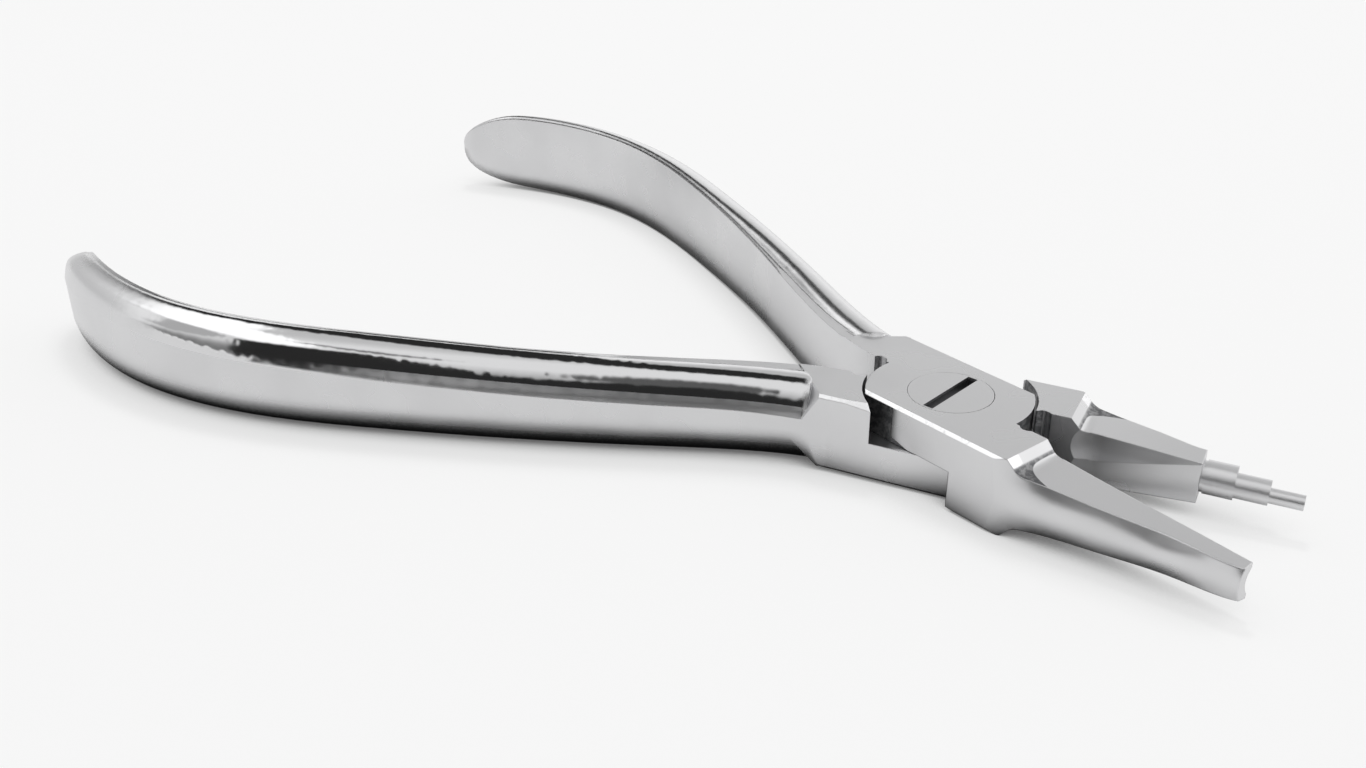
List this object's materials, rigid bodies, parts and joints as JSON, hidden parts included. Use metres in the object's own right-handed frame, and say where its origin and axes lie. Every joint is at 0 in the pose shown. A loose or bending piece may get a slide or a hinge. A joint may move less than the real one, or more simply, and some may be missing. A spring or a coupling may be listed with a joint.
{
  "type": "orthodontic pliers",
  "caption": "Wire-bending pliers with curved handles, a lap joint turning on a slotted screw, a hollow beak and a beak with a stepped pin.",
  "frame": {"origin": "pivot axis at the joint's flat underside, where the screw's end is flush", "axes": "+X towards the tips along the line midway between the beaks, +Z along the pivot to the screw head, handles towards -X"},
  "size_m": [0.1336, 0.0798, 0.0112],
  "materials": {
    "polished_steel": "mirror polished stainless steel",
    "satin_steel": "satin, belt ground stainless steel",
    "turned_steel": "turned stainless steel with tool marks"
  },
  "bodies": {
    "lower": {"lower_half": "satin_steel", "pivot_screw": "satin_steel", "stepped_tip": "turned_steel"},
    "upper": {"upper_half": "satin_steel"}
  },
  "joints": [
    {"name": "pivot", "type": "hinge", "parent": "lower", "child": "upper", "pos_m": [0, 0, 0.004], "axis": [0, 0, 1], "range_deg": [-59, 24]}
  ]
}
